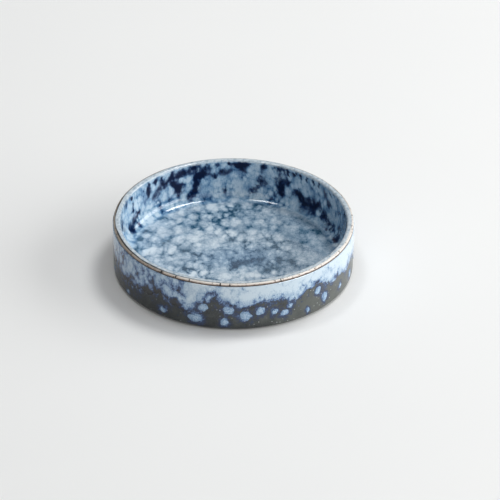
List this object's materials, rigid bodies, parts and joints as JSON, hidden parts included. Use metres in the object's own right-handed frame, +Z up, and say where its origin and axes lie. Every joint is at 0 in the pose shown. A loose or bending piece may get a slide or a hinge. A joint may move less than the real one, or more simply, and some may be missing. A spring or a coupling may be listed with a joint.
{
  "type": "soy sauce dish",
  "caption": "Small round straight-walled stoneware sauce dish with a flat well, a bare clay bead on the lip, a foot ring and a pale blue reactive glaze running over a dark one.",
  "frame": {"origin": "centre of the foot ring, on the surface that the dish stands on", "axes": "+Z up along the axis of the dish; -Y is the side that faces the camera in the picture"},
  "size_m": [0.095, 0.095, 0.0215],
  "materials": {
    "clay": "matte",
    "dark_glaze_inside": "gloss",
    "cloud_glaze_inside": "gloss",
    "dark_glaze_outside": "satin",
    "cloud_glaze_outside": "satin",
    "spot_glaze": "satin",
    "dark_glaze_underside": "satin"
  },
  "bodies": {
    "root": {"clay_body": "clay", "inner_base_glaze": "dark_glaze_inside", "inner_cloud_glaze": "cloud_glaze_inside", "outer_base_glaze": "dark_glaze_outside", "outer_cloud_glaze": "cloud_glaze_outside", "glaze_spots": "spot_glaze", "underside_glaze": "dark_glaze_underside"}
  },
  "joints": []
}
